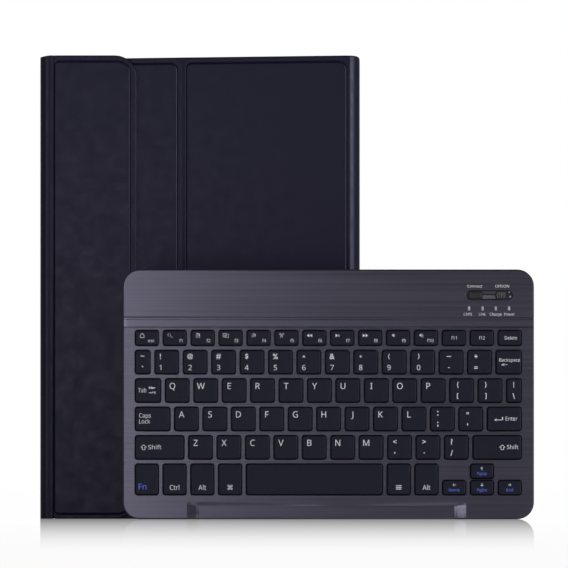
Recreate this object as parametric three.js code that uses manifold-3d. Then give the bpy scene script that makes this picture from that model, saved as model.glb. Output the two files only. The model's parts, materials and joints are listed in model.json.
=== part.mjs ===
// Tablet keyboard case: a leather folio that stands on its lower edge, closed, with its wireless
// keyboard standing in front of it.
//
// Millimetres. +X is to the right, +Y is away from the viewer, +Z is up. The origin is the middle
// of the whole object's footprint, on the surface that it stands on.
import * as THREE from 'three';
import { mergeVertices } from 'three/addons/utils/BufferGeometryUtils.js';
import Module from 'manifold-3d';

const wasm = await Module();
wasm.setup();

// ---------------------------------------------------------------- driving dimensions

const CASE_WIDTH = 193.4;
const CASE_HEIGHT = 280.4;
const CASE_DEPTH = 24;
const KEYBOARD_WIDTH = 246;
const KEYBOARD_HEIGHT = 149.3;
const KEYBOARD_DEPTH = 7.45;
const WHOLE_WIDTH = 297; // from the case's left edge to the keyboard's right edge
const STANDING_GAP = 110; // clear floor between the keyboard's back and the case

const WHOLE_DEPTH = KEYBOARD_DEPTH + STANDING_GAP + CASE_DEPTH;
const CASE_LEFT = -WHOLE_WIDTH / 2;
const CASE_RIGHT = CASE_LEFT + CASE_WIDTH;
const CASE_FRONT_Y = WHOLE_DEPTH / 2 - CASE_DEPTH;
const KEYBOARD_LEFT = WHOLE_WIDTH / 2 - KEYBOARD_WIDTH;
const KEYBOARD_FRONT_Y = -WHOLE_DEPTH / 2;

// Layers of the closed folio, as distances behind the flap's outer face.
const PANEL_THICKNESS = 2.7;
const FLAP = { front: 0, back: 2.4 };
const COVER = { front: 2.7, back: 2.7 + PANEL_THICKNESS };
const TRAY = { front: 12.7, back: 21 };
const REAR = { front: CASE_DEPTH - PANEL_THICKNESS, back: CASE_DEPTH };

// Upright hinge lines of the folio, as X.
const SPINE_WIDTH = 8;
const GROOVE_X = CASE_LEFT + SPINE_WIDTH;
const FOLD_X = GROOVE_X + 77.8;
const FLAP_EDGE_X = GROOVE_X + 50.3;
const HINGE_CLEARANCE = 0.9;
const FOLD_CLEARANCE = 0.2;

// How a panel is made up: a leather skin turned round a stiff board, with a lining behind it.
const SKIN = 0.6;
const LINING = 0.5;
const SLIP = 0.1; // room between layers
const HEM = 3.3; // leather beyond the board

const LIP_RADIUS = 6.5; // the front cover's rounded right edge
const LIP_REACH = 9.7; // how far that edge turns back towards the tray
const COVER_DIP = 2.2; // how much lower the front cover's top is at the groove

// ---------------------------------------------------------------- shape helpers

/** A closed outline through points given as [u, v] pairs. */
function polygon(points) {
  return new THREE.Shape(points.map(([u, v]) => new THREE.Vector2(u, v)));
}

/** A rectangle whose corners are cut at 45 degrees. */
function cutCornerBox(left, low, right, high, cut) {
  return polygon([
    [left + cut, low], [right - cut, low],
    [right, low + cut], [right, high - cut],
    [right - cut, high], [left + cut, high],
    [left, high - cut], [left, low + cut],
  ]);
}

/** A rectangle with its own radius at each corner. */
function roundedBox(left, low, right, high, { ll, lr, ur, ul }) {
  const shape = new THREE.Shape();
  shape.moveTo(left + ll, low);
  shape.absarc(right - lr, low + lr, lr, -Math.PI / 2, 0);
  shape.absarc(right - ur, high - ur, ur, 0, Math.PI / 2);
  shape.absarc(left + ul, high - ul, ul, Math.PI / 2, Math.PI);
  shape.absarc(left + ll, low + ll, ll, Math.PI, 1.5 * Math.PI);
  return shape;
}

/** The same radius at all four corners. */
function evenBox(left, low, right, high, radius) {
  return roundedBox(left, low, right, high, { ll: radius, lr: radius, ur: radius, ul: radius });
}

function extrude(shape, depth) {
  return new THREE.ExtrudeGeometry(shape, { depth, bevelEnabled: false, curveSegments: 2 });
}

/** A plate: an outline in X and Z, from y0 back to y1. */
function plate(shape, y0, y1) {
  return extrude(shape, y1 - y0).rotateX(Math.PI / 2).translate(0, y1, 0);
}

/** An upright moulding: a profile in X and Y, from z0 up to z1. */
function upright(shape, z0, z1) {
  return extrude(shape, z1 - z0).translate(0, 0, z0);
}

/** A moulding along X: a profile in Y and Z, from x0 to x1. */
function alongX(shape, x0, x1) {
  const turn = new THREE.Matrix4().makeBasis(
    new THREE.Vector3(0, 1, 0),
    new THREE.Vector3(0, 0, 1),
    new THREE.Vector3(1, 0, 0),
  );
  return extrude(shape, x1 - x0).applyMatrix4(turn).translate(x0, 0, 0);
}

/** A block between two corners. */
function block([x0, y0, z0], [x1, y1, z1]) {
  return new THREE.BoxGeometry(x1 - x0, y1 - y0, z1 - z0)
    .translate((x0 + x1) / 2, (y0 + y1) / 2, (z0 + z1) / 2);
}

function toSolid(geometry) {
  const bare = geometry.clone();
  bare.deleteAttribute('normal');
  bare.deleteAttribute('uv');
  const merged = mergeVertices(bare, 1e-4);
  return new wasm.Manifold(new wasm.Mesh({
    numProp: 3,
    vertProperties: new Float32Array(merged.attributes.position.array),
    triVerts: new Uint32Array(merged.index.array),
  }));
}

function toGeometry(solid) {
  const mesh = solid.getMesh();
  const geometry = new THREE.BufferGeometry();
  geometry.setAttribute('position', new THREE.BufferAttribute(mesh.vertProperties, 3));
  geometry.setIndex(new THREE.BufferAttribute(mesh.triVerts, 1));
  geometry.computeVertexNormals();
  return geometry;
}

function cut(geometry, ...tools) {
  const left = tools.reduce((solid, tool) => solid.subtract(toSolid(tool)), toSolid(geometry));
  return toGeometry(left);
}

function join(geometry, ...others) {
  const whole = others.reduce((solid, other) => solid.add(toSolid(other)), toSolid(geometry));
  return toGeometry(whole);
}

function keep(geometry, envelope) {
  return toGeometry(toSolid(geometry).intersect(toSolid(envelope)));
}

// ---------------------------------------------------------------- materials and the scene

function finish(color, roughness, metalness = 0) {
  return new THREE.MeshStandardMaterial({ color, roughness, metalness });
}

const LEATHER = finish('#22202b', 0.55);
const FIBREBOARD = finish('#8b7358', 0.9);
const SUEDE = finish('#2b2a30', 0.95);
const SOFT_PLASTIC = finish('#1d1d20', 0.6);
const BRUSHED_METAL = finish('#47454f', 0.35, 0.9);
const HARD_PLASTIC = finish('#1c1c20', 0.5);
const KEYCAP = finish('#23232c', 0.55);
const RUBBER = finish('#161618', 0.85);
const MAGNET = finish('#9a9a9e', 0.3, 1);
const STEEL = finish('#a7a8aa', 0.4, 1);
const CIRCUIT = finish('#1e5a3c', 0.6);
const FOIL = finish('#b9bcc0', 0.35, 0.8);
const CLEAR = finish('#e4e6ea', 0.2);

const object = new THREE.Group();
const folio = new THREE.Group();
folio.position.y = CASE_FRONT_Y;
const keyboard = new THREE.Group();
keyboard.position.set(KEYBOARD_LEFT, KEYBOARD_FRONT_Y, 0);
object.add(folio, keyboard);

function add(group, name, geometry, material) {
  const mesh = new THREE.Mesh(geometry, material);
  mesh.name = name;
  group.add(mesh);
}

// ---------------------------------------------------------------- the folio's panels

/** The front cover's upper edge, which dips gently towards the groove. */
function coverTop(x) {
  const highest = CASE_RIGHT - LIP_RADIUS;
  return CASE_HEIGHT - COVER_DIP * Math.max(0, (highest - x) / (highest - GROOVE_X));
}

/** A cover panel's outline between two X positions, under that upper edge. */
function coverOutline(left, right, inset) {
  return polygon([
    [left, inset],
    [right, inset],
    [right, coverTop(right) - inset],
    [left, coverTop(left) - inset],
  ]);
}

/**
 * Board and lining of a panel whose leather is hollowed from behind (or, for the rear cover, from
 * the front). Returns the hollow to cut from the leather.
 */
function fillPanel(name, { outline, roomier, layer, openBehind, slots = [] }) {
  const skinSide = openBehind ? layer.front : layer.back;
  const away = openBehind ? 1 : -1;
  const liningSide = openBehind ? layer.back : layer.front;
  const span = (a, b) => [Math.min(a, b), Math.max(a, b)];
  const boardSpan = span(skinSide + away * (SKIN + SLIP), liningSide - away * (LINING + SLIP));
  const liningSpan = span(liningSide - away * LINING, liningSide);
  const windows = slots.map((slot) => plate(
    cutCornerBox(slot.left - SLIP, slot.low - SLIP, slot.right + SLIP, slot.high + SLIP, SLIP),
    boardSpan[0] - 1,
    boardSpan[1] + 1,
  ));
  add(folio, `${name}_board`, cut(plate(outline, ...boardSpan), ...windows), FIBREBOARD);
  add(folio, `${name}_lining`, plate(outline, ...liningSpan), SUEDE);
  for (const slot of slots) {
    const bar = plate(
      evenBox(slot.left, slot.low, slot.right, slot.high, 1),
      boardSpan[0] + SLIP / 2,
      boardSpan[1] - SLIP / 2,
    );
    add(folio, slot.name, bar, slot.material);
  }
  return plate(roomier, ...span(skinSide + away * SKIN, liningSide + away));
}

const FLAP_MAGNET = { left: FLAP_EDGE_X - 11, right: FLAP_EDGE_X - 6, low: 60, high: 220 };

function buildFlap() {
  const left = GROOVE_X + HINGE_CLEARANCE;
  const corner = 13;
  const boardRight = FLAP_EDGE_X - 3.6;
  const outer = roundedBox(left, 0, FLAP_EDGE_X, CASE_HEIGHT, { ll: 1, lr: corner, ur: corner, ul: 1 });
  const inner = (grow) => roundedBox(
    left + 1 - grow, HEM - grow, boardRight + grow, CASE_HEIGHT - HEM + grow,
    { ll: 2, lr: 6.5, ur: 6.5, ul: 2 },
  );
  const hollow = fillPanel('flap', {
    outline: inner(0),
    roomier: inner(0.2),
    layer: FLAP,
    openBehind: true,
    slots: [{ ...FLAP_MAGNET, name: 'flap_magnet_bar', material: MAGNET }],
  });
  add(folio, 'flap_leather', cut(plate(outer, FLAP.front, FLAP.back), hollow), LEATHER);
}

function buildBasePanel() {
  const left = GROOVE_X + HINGE_CLEARANCE;
  const right = FOLD_X - FOLD_CLEARANCE;
  const boardLeft = left + 2;
  const boardRight = FOLD_X - 3.4;
  const hollow = fillPanel('base_panel', {
    outline: coverOutline(boardLeft, boardRight, HEM),
    roomier: coverOutline(boardLeft - 0.2, boardRight + 0.2, HEM - 0.2),
    layer: COVER,
    openBehind: true,
    slots: [{ ...FLAP_MAGNET, name: 'flap_keeper_plate', material: STEEL }],
  });
  const leather = plate(coverOutline(left, right, 0), COVER.front, COVER.back);
  add(folio, 'base_panel_leather', cut(leather, hollow), LEATHER);
}

function buildFrontPanel() {
  const left = FOLD_X + FOLD_CLEARANCE;
  const boardLeft = FOLD_X + 3.3;
  const boardRight = CASE_RIGHT - LIP_RADIUS - 1.9;
  const arcX = CASE_RIGHT - LIP_RADIUS;
  const arcY = COVER.front + LIP_RADIUS;
  const section = new THREE.Shape();
  section.moveTo(left, COVER.front);
  section.lineTo(arcX, COVER.front);
  section.absarc(arcX, arcY, LIP_RADIUS, -Math.PI / 2, 0);
  section.lineTo(CASE_RIGHT, COVER.front + LIP_REACH);
  section.lineTo(CASE_RIGHT - PANEL_THICKNESS, COVER.front + LIP_REACH);
  section.absarc(arcX, arcY, LIP_RADIUS - PANEL_THICKNESS, 0, -Math.PI / 2, true);
  section.lineTo(left, COVER.back);

  const top = CASE_HEIGHT;
  const cornerRadius = 3;
  const silhouette = new THREE.Shape();
  silhouette.moveTo(left - 1, 0);
  silhouette.lineTo(CASE_RIGHT + 1, 0);
  silhouette.lineTo(CASE_RIGHT + 1, top - cornerRadius);
  silhouette.lineTo(CASE_RIGHT, top - cornerRadius);
  silhouette.absarc(CASE_RIGHT - cornerRadius, top - cornerRadius, cornerRadius, 0, Math.PI / 2);
  silhouette.lineTo(left - 1, coverTop(left - 1));

  const hollow = fillPanel('front_panel', {
    outline: coverOutline(boardLeft, boardRight, HEM),
    roomier: coverOutline(boardLeft - 0.2, boardRight + 0.2, HEM - 0.2),
    layer: COVER,
    openBehind: true,
    slots: [
      { left: FOLD_X + 78, right: FOLD_X + 84, low: 40, high: 240, name: 'keyboard_magnet_bar', material: MAGNET },
      { left: boardRight - 7, right: boardRight - 3, low: 120, high: 160, name: 'closure_magnet', material: MAGNET },
    ],
  });
  const moulding = keep(upright(section, 0, top), plate(silhouette, 0, CASE_DEPTH));
  add(folio, 'front_panel_leather', cut(moulding, hollow), LEATHER);
}

function buildRearCover() {
  const left = GROOVE_X + HINGE_CLEARANCE;
  const top = CASE_HEIGHT - COVER_DIP;
  const boardEdge = (grow) => evenBox(
    left + 2 - grow, HEM - grow, CASE_RIGHT - HEM + grow, top - HEM + grow, 2.5,
  );
  const hollow = fillPanel('rear_cover', {
    outline: boardEdge(0),
    roomier: boardEdge(0.2),
    layer: REAR,
    openBehind: false,
  });
  const outer = roundedBox(left, 0, CASE_RIGHT, top, { ll: 1, lr: 3, ur: 3, ul: 1 });
  add(folio, 'rear_cover_leather', cut(plate(outer, REAR.front, REAR.back), hollow), LEATHER);
}

/** The shell that holds the tablet, with a lip over the tablet's edge all round. */
function buildTablet() {
  const left = GROOVE_X + 3;
  const right = CASE_RIGHT - 3.4;
  const low = 3;
  const high = CASE_HEIGHT - COVER_DIP - 2.4;
  const wall = 1.8;
  const lip = { width: 1.2, thickness: 1.1 };
  const floor = 1.3;
  const inset = (d, radius) => evenBox(left + d, low + d, right - d, high - d, radius);
  const shell = cut(
    plate(inset(0, 9), TRAY.front, TRAY.back),
    plate(inset(wall, 7.4), TRAY.front + lip.thickness, TRAY.back - floor),
    plate(inset(wall + lip.width, 6.4), TRAY.front - 1, TRAY.back - floor - 1),
  );
  add(folio, 'tablet_tray', shell, SOFT_PLASTIC);
}

/** The rounded spine, a C-shaped strip that joins the front cover to the rear cover. */
function buildSpine() {
  const right = GROOVE_X - 0.7;
  const radius = 7.3;
  const thickness = 1.6;
  const section = new THREE.Shape();
  section.moveTo(right, 0);
  section.lineTo(right, thickness);
  section.absarc(
    CASE_LEFT + radius, radius, radius - thickness, -Math.PI / 2, -Math.PI, true,
  );
  section.absarc(
    CASE_LEFT + radius, CASE_DEPTH - radius, radius - thickness, Math.PI, Math.PI / 2, true,
  );
  section.lineTo(right, CASE_DEPTH - thickness);
  section.lineTo(right, CASE_DEPTH);
  section.absarc(CASE_LEFT + radius, CASE_DEPTH - radius, radius, Math.PI / 2, Math.PI);
  section.absarc(CASE_LEFT + radius, radius, radius, Math.PI, 1.5 * Math.PI);
  add(folio, 'spine_leather', upright(section, 0, CASE_HEIGHT), LEATHER);

  const coreLeft = CASE_LEFT + thickness + SLIP;
  const core = { width: 1.2, low: HEM, high: CASE_HEIGHT - HEM };
  const liningLeft = coreLeft + core.width + SLIP;
  add(folio, 'spine_core', block(
    [coreLeft, radius, core.low],
    [coreLeft + core.width, CASE_DEPTH - radius, core.high],
  ), FIBREBOARD);
  add(folio, 'spine_lining', block(
    [liningLeft, radius - 2, core.low],
    [liningLeft + LINING, CASE_DEPTH - radius + 2, core.high],
  ), SUEDE);
}

// ---------------------------------------------------------------- the keyboard's key layout

// Keyboard-local places: X from its left edge, Y from the key tops backwards, Z from its lower edge.
const BLOCK_LEFT = 7.3;
const BLOCK_WIDTH = KEYBOARD_WIDTH - 2 * BLOCK_LEFT;
const LOWEST_ROW = 14.2;
const PITCH = 17;
const WEB = 2.2; // metal between two key openings
const SPACE_ROW_HEIGHT = 19.1;
const LETTER_ROW_HEIGHT = PITCH - WEB;
const FUNCTION_ROW_HEIGHT = 9.7;
const SMALL_PITCH = (BLOCK_WIDTH + WEB) / 14;
const MODIFIER_PITCH = 16.6;
const KEY_PLAY = 0.3; // between a keycap and its opening

/** The lower edge of a letter row, counted up from the row above the space bar. */
function letterRow(n) {
  return LOWEST_ROW + SPACE_ROW_HEIGHT + WEB + n * PITCH;
}

/** Openings side by side: how many, where the first starts, their pitch, and the row they are in. */
function openings(count, start, pitch, low, height) {
  return Array.from({ length: count }, (_, i) => ({
    left: BLOCK_LEFT + start + i * pitch,
    right: BLOCK_LEFT + start + (i + 1) * pitch - WEB,
    low,
    high: low + height,
  }));
}

/** One opening that runs from start to end, measured along the block. */
function opening(start, end, low, height) {
  return openings(1, start, end - start + WEB, low, height);
}

/** A letter row: a wide key at its left, a run of letter keys, and what is left at its right. */
function letterRowKeys(rowNumber, firstLetter, letters) {
  const low = letterRow(rowNumber);
  const afterLetters = firstLetter + letters * PITCH;
  return {
    first: opening(0, firstLetter - WEB, low, LETTER_ROW_HEIGHT),
    letters: openings(letters, firstLetter, PITCH, low, LETTER_ROW_HEIGHT),
    last: opening(afterLetters, BLOCK_WIDTH, low, LETTER_ROW_HEIGHT),
  };
}

const lowerRow = letterRowKeys(0, 31.9, 10);
const homeRow = letterRowKeys(1, 23.5, 11);
const upperRow = letterRowKeys(2, 18, 12);
const numberRow = letterRowKeys(3, 11.7, 12);

const rightGroup = BLOCK_WIDTH + WEB - 5 * MODIFIER_PITCH;
const arrowHeight = (SPACE_ROW_HEIGHT + 0.5) / 2 - 0.5;

function modifier(column, start = 0, low = LOWEST_ROW, height = SPACE_ROW_HEIGHT) {
  return openings(1, start + column * MODIFIER_PITCH, MODIFIER_PITCH, low, height);
}

const arrow = (column, raised) => modifier(
  column, rightGroup, LOWEST_ROW + (raised ? arrowHeight + 0.5 : 0), arrowHeight,
);

// Each entry is one moving piece: a wide key by itself, or the caps of one row on a shared carrier.
const KEY_BODIES = {
  keys_function_row: openings(14, 0, SMALL_PITCH, letterRow(4), FUNCTION_ROW_HEIGHT),
  keys_number_row: [...numberRow.first, ...numberRow.letters],
  key_backspace: numberRow.last,
  key_tab: upperRow.first,
  keys_upper_row: [...upperRow.letters, ...upperRow.last],
  key_caps_lock: homeRow.first,
  keys_home_row: homeRow.letters,
  key_enter: homeRow.last,
  key_shift_left: lowerRow.first,
  keys_lower_row: lowerRow.letters,
  key_shift_right: lowerRow.last,
  key_fn: modifier(0),
  key_ctrl: modifier(1),
  key_alt_left: modifier(2),
  key_system: modifier(3),
  key_space: opening(4 * MODIFIER_PITCH, rightGroup - WEB, LOWEST_ROW, SPACE_ROW_HEIGHT),
  key_menu: modifier(0, rightGroup),
  key_alt_right: modifier(1, rightGroup),
  key_arrow_left: arrow(2, false),
  key_arrow_down: arrow(3, false),
  key_arrow_up: arrow(3, true),
  key_arrow_right: arrow(4, false),
};

// ---------------------------------------------------------------- the keyboard's layers

const DECK = { front: 1.6, back: 2.7 };
const BAND_FRONT = 0.5; // the raised band above the keys
const BAND_BACK = 1.7;
const BAND_LOW = 119.6;
const SLOPE_LOW = 115.2;
const FRAME_BACK = 4.6;
const SHELL_WALL = 1.6;
const CORNER = 10;
const CAP_BACK = 3.2;
const CARRIER_FRONT = 2.9;
const COVER_SHELL = { front: 4.8, floor: 5.9, back: 6.9 };

const SWITCH_SLOT = { left: 205.3, right: 233.6, low: 131, high: 137 };
const SWITCH_MIDDLE_Z = (SWITCH_SLOT.low + SWITCH_SLOT.high) / 2;
const CONNECT_X = 211.1;
const KNOB_X = 226.2;
const KNOB_TRAVEL = 3.4;
const LAMP_X = [207.2, 215.3, 223.2, 231.2];
const LAMP_Z = 126;
const USB = { left: 196.1, right: 203.9, front: 2, back: 4 };

/** The keyboard's outline, drawn in by d. */
function shellOutline(d) {
  return evenBox(d, d, KEYBOARD_WIDTH - d, KEYBOARD_HEIGHT - d, CORNER - d);
}

/** A block centred on x and z. */
function post(x, z, width, height, y0, y1) {
  return block([x - width / 2, y0, z - height / 2], [x + width / 2, y1, z + height / 2]);
}

function buildTopFrame() {
  const inFront = BAND_FRONT - 1;
  const steppedDown = polygon([
    [inFront, -1],
    [DECK.front, -1],
    [DECK.front, SLOPE_LOW],
    [BAND_FRONT, BAND_LOW],
    [inFront, BAND_LOW],
  ]);
  const deckHollow = polygon([
    [DECK.back, SHELL_WALL],
    [FRAME_BACK + 1, SHELL_WALL],
    [FRAME_BACK + 1, KEYBOARD_HEIGHT - SHELL_WALL],
    [BAND_BACK, KEYBOARD_HEIGHT - SHELL_WALL],
    [BAND_BACK, BAND_LOW + 1],
    [DECK.back, SLOPE_LOW + 1],
  ]);
  const hollow = keep(
    alongX(deckHollow, SHELL_WALL, KEYBOARD_WIDTH - SHELL_WALL),
    plate(shellOutline(SHELL_WALL), 0, FRAME_BACK + 2),
  );
  const keyHoles = Object.values(KEY_BODIES).flat().map((hole) => plate(
    cutCornerBox(hole.left, hole.low, hole.right, hole.high, 0.8),
    0,
    FRAME_BACK,
  ));
  const switchSlot = plate(
    cutCornerBox(SWITCH_SLOT.left, SWITCH_SLOT.low, SWITCH_SLOT.right, SWITCH_SLOT.high, 2),
    0,
    BAND_BACK + 0.5,
  );
  const lampHoles = LAMP_X.map((x) => post(x, LAMP_Z, 1.6, 2.9, 0, BAND_BACK + 0.5));
  const usbSlot = block(
    [USB.left - 0.3, USB.front - 0.2, KEYBOARD_HEIGHT - 2 * SHELL_WALL],
    [USB.right + 0.3, USB.back + 0.2, KEYBOARD_HEIGHT + 1],
  );
  const frame = cut(
    plate(shellOutline(0), BAND_FRONT, FRAME_BACK),
    alongX(steppedDown, -1, KEYBOARD_WIDTH + 1),
    hollow,
    ...keyHoles,
    switchSlot,
    ...lampHoles,
    usbSlot,
  );
  add(keyboard, 'keyboard_top_frame', frame, BRUSHED_METAL);
}

function buildBottomCover() {
  const cover = cut(
    plate(shellOutline(0), COVER_SHELL.front, COVER_SHELL.back),
    plate(shellOutline(SHELL_WALL), COVER_SHELL.front - 1, COVER_SHELL.floor),
  );
  add(keyboard, 'keyboard_bottom_cover', cover, HARD_PLASTIC);

  const foot = { radius: 4, front: COVER_SHELL.back + 0.05, back: KEYBOARD_DEPTH };
  const inset = 14;
  const columns = { left: inset, right: KEYBOARD_WIDTH - inset };
  const rows = { lower: inset, upper: KEYBOARD_HEIGHT - inset };
  for (const [side, x] of Object.entries(columns)) {
    for (const [level, z] of Object.entries(rows)) {
      const disc = new THREE.CylinderGeometry(foot.radius, foot.radius, foot.back - foot.front, 12)
        .translate(x, (foot.front + foot.back) / 2, z);
      add(keyboard, `foot_${level}_${side}`, disc, RUBBER);
    }
  }
}

function buildKeys() {
  const carrierHeight = 4;
  for (const [name, holes] of Object.entries(KEY_BODIES)) {
    const caps = holes.map((hole) => plate(
      cutCornerBox(
        hole.left + KEY_PLAY, hole.low + KEY_PLAY, hole.right - KEY_PLAY, hole.high - KEY_PLAY, 0.7,
      ),
      0,
      CAP_BACK,
    ));
    if (holes.length === 1) {
      add(keyboard, name, caps[0], KEYCAP);
      continue;
    }
    const middle = (holes[0].low + holes[0].high) / 2;
    const carrier = block(
      [holes[0].left + 1, CARRIER_FRONT, middle - carrierHeight / 2],
      [holes.at(-1).right - 1, CAP_BACK, middle + carrierHeight / 2],
    );
    add(keyboard, name, join(carrier, ...caps), KEYCAP);
  }
}

/** The sheets under the keys: rubber domes, the contact membrane and the steel plate. */
function buildKeySheets() {
  const left = 5;
  const right = KEYBOARD_WIDTH - left;
  const low = 11;
  const high = 116;
  const sheet = evenBox(left, low, right, high, 2);
  const tail = { left: 200, right: 214, high: 123.5 };
  const membrane = polygon([
    [left, low], [right, low], [right, high],
    [tail.right, high], [tail.right, tail.high], [tail.left, tail.high], [tail.left, high],
    [left, high],
  ]);
  add(keyboard, 'dome_sheet', plate(sheet, 4.5, 4.9), RUBBER);
  add(keyboard, 'membrane_sheet', plate(membrane, 5.3, 5.5), CLEAR);
  add(keyboard, 'key_support_plate', plate(sheet, 5.55, 5.85), STEEL);
}

/** The circuit board, with the parts soldered to it, its port and its battery. */
function buildElectronics() {
  const boardFront = 4.4;
  const board = join(
    block([194, boardFront, 121.5], [238.5, 5.2, 146.8]),
    block([216, 3.4, 139.5], [225, boardFront + 0.1, 145.5]), // radio chip
    post(CONNECT_X, SWITCH_MIDDLE_Z, 5, 5, 3.95, boardFront + 0.1), // connect contact
    post(KNOB_X + KNOB_TRAVEL / 2, SWITCH_MIDDLE_Z, 10, 4.6, 3.6, boardFront + 0.1), // slide contact
  );
  add(keyboard, 'controller_board', board, CIRCUIT);

  const portBack = 142.4;
  const mouth = KEYBOARD_HEIGHT - 0.2;
  const tin = 0.35;
  const port = cut(
    block([USB.left, USB.front, portBack], [USB.right, USB.back, mouth]),
    block(
      [USB.left + tin, USB.front + tin, portBack + 1],
      [USB.right - tin, USB.back - tin, mouth + 1],
    ),
  );
  add(keyboard, 'charging_port', port, STEEL);
  add(keyboard, 'battery_cell', plate(evenBox(40, 122, 128, 146.4, 2), 2, 5.4), FOIL);
  add(keyboard, 'battery_lead', block([128.2, 4.5, 133], [193.8, 5, 136]), RUBBER);
  add(keyboard, 'keyboard_steel_strip', plate(evenBox(20, 3.5, 226, 9.5, 1), 3, 3.8), STEEL);
}

/** The slide switch, the connect button and the four status lamps, in the raised band. */
function buildSwitches() {
  const wellFront = 1.9;
  const well = cut(
    plate(evenBox(203.8, 129.4, 235.1, 138.6, 1.5), wellFront, 2.4),
    post(CONNECT_X, SWITCH_MIDDLE_Z, 4.6, 3, 1, 3),
    post(KNOB_X + KNOB_TRAVEL / 2, SWITCH_MIDDLE_Z, 3 + KNOB_TRAVEL, 2.6, 1, 3),
  );
  add(keyboard, 'switch_well', well, HARD_PLASTIC);

  const button = join(
    plate(
      cutCornerBox(CONNECT_X - 3.75, SWITCH_MIDDLE_Z - 2.1, CONNECT_X + 3.75, SWITCH_MIDDLE_Z + 2.1, 1),
      0.7,
      1.2,
    ),
    post(CONNECT_X, SWITCH_MIDDLE_Z, 4, 2.4, 1.1, 3.3),
  );
  add(keyboard, 'connect_button', button, HARD_PLASTIC);

  const ridges = [-1.8, -0.6, 0.6, 1.8].map((dx) => post(
    KNOB_X + dx, SWITCH_MIDDLE_Z, 0.5, 3.4, 0.6, 1,
  ));
  const knob = join(
    post(KNOB_X, SWITCH_MIDDLE_Z, 6, 4.2, 0.9, 1.7),
    post(KNOB_X, SWITCH_MIDDLE_Z, 2.4, 2, 1.6, 3.4),
    ...ridges,
  );
  add(keyboard, 'power_switch_knob', knob, HARD_PLASTIC);

  const guide = join(
    post((LAMP_X[0] + LAMP_X.at(-1)) / 2, LAMP_Z, 28.4, 3.6, 1.9, 2.7),
    ...LAMP_X.map((x) => post(x, LAMP_Z, 1.3, 2.6, BAND_FRONT + 0.1, 2)),
  );
  add(keyboard, 'lamp_light_guide', guide, CLEAR);
}

buildFlap();
buildBasePanel();
buildFrontPanel();
buildRearCover();
buildTablet();
buildSpine();
buildTopFrame();
buildBottomCover();
buildKeys();
buildKeySheets();
buildElectronics();
buildSwitches();

export default object;
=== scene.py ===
"""The looks of the tablet keyboard case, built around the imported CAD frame.

Shapes are worked out in millimetres, in the frame's own axes, and turned into metres as each mesh
is made. The folio's depths are counted back from the flap's outer face, and the keyboard's places
from its lower left corner and its key tops.
"""

import json
import math
from string import ascii_lowercase, ascii_uppercase, digits

import bmesh
import bpy
from mathutils import Matrix, Vector
from mathutils.geometry import delaunay_2d_cdt

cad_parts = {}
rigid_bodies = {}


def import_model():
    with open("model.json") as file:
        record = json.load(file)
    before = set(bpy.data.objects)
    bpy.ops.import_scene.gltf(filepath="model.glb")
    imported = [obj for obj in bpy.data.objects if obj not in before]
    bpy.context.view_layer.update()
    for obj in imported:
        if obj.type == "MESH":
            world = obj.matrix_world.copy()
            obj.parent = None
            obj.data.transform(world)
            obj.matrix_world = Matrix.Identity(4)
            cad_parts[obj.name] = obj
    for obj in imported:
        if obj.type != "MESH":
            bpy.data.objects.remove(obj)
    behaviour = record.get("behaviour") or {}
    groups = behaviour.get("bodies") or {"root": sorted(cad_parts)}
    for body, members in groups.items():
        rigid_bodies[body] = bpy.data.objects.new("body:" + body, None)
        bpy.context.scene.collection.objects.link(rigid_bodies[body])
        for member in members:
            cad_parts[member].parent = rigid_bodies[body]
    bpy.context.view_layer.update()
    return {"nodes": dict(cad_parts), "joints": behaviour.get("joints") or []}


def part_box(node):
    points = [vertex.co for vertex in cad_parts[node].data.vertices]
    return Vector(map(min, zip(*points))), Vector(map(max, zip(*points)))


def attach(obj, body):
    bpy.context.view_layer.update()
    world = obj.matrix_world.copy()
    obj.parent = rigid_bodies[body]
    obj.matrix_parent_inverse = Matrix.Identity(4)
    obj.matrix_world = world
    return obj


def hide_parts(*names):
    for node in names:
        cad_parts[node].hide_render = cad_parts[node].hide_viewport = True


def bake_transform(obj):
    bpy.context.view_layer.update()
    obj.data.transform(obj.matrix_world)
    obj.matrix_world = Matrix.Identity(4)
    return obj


for thing in list(bpy.data.objects):
    bpy.data.objects.remove(thing)
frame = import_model()
MM = 0.001


def box_mm(node):
    """A CAD node's lowest and highest corner, in millimetres."""
    return [[value / MM for value in corner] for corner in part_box(node)]


# ---------------------------------------------------------------- places read from the frame

FLAP_LOW, FLAP_HIGH = box_mm("flap_leather")
BASE_LOW, BASE_HIGH = box_mm("base_panel_leather")
WIDE_LOW, WIDE_HIGH = box_mm("front_panel_leather")
REAR_LOW, REAR_HIGH = box_mm("rear_cover_leather")
SPINE_LOW, SPINE_HIGH = box_mm("spine_leather")
TRAY_LOW, TRAY_HIGH = box_mm("tablet_tray")
FRAME_LOW, FRAME_HIGH = box_mm("keyboard_top_frame")
SHELL_LOW, SHELL_HIGH = box_mm("keyboard_bottom_cover")
CAPS_FRONT = box_mm("key_space")[0][1]

FOLIO_Y = FLAP_LOW[1]
CASE_HEIGHT = FLAP_HIGH[2]
HINGE = {joint["name"]: joint for joint in frame["joints"]}
GROOVE_X = HINGE["flap_hinge"]["pos_m"][0] / MM
FOLD_X = HINGE["cover_fold"]["pos_m"][0] / MM
KEY_X = FRAME_LOW[0]
KEY_Y = CAPS_FRONT
FOLIO_PLACE = (0, FOLIO_Y, 0)
KEYBOARD_PLACE = (KEY_X, KEY_Y, 0)
KEY_WIDTH = FRAME_HIGH[0] - FRAME_LOW[0]
KEY_HEIGHT = FRAME_HIGH[2] - FRAME_LOW[2]

# ---------------------------------------------------------------- building closed meshes


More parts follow.
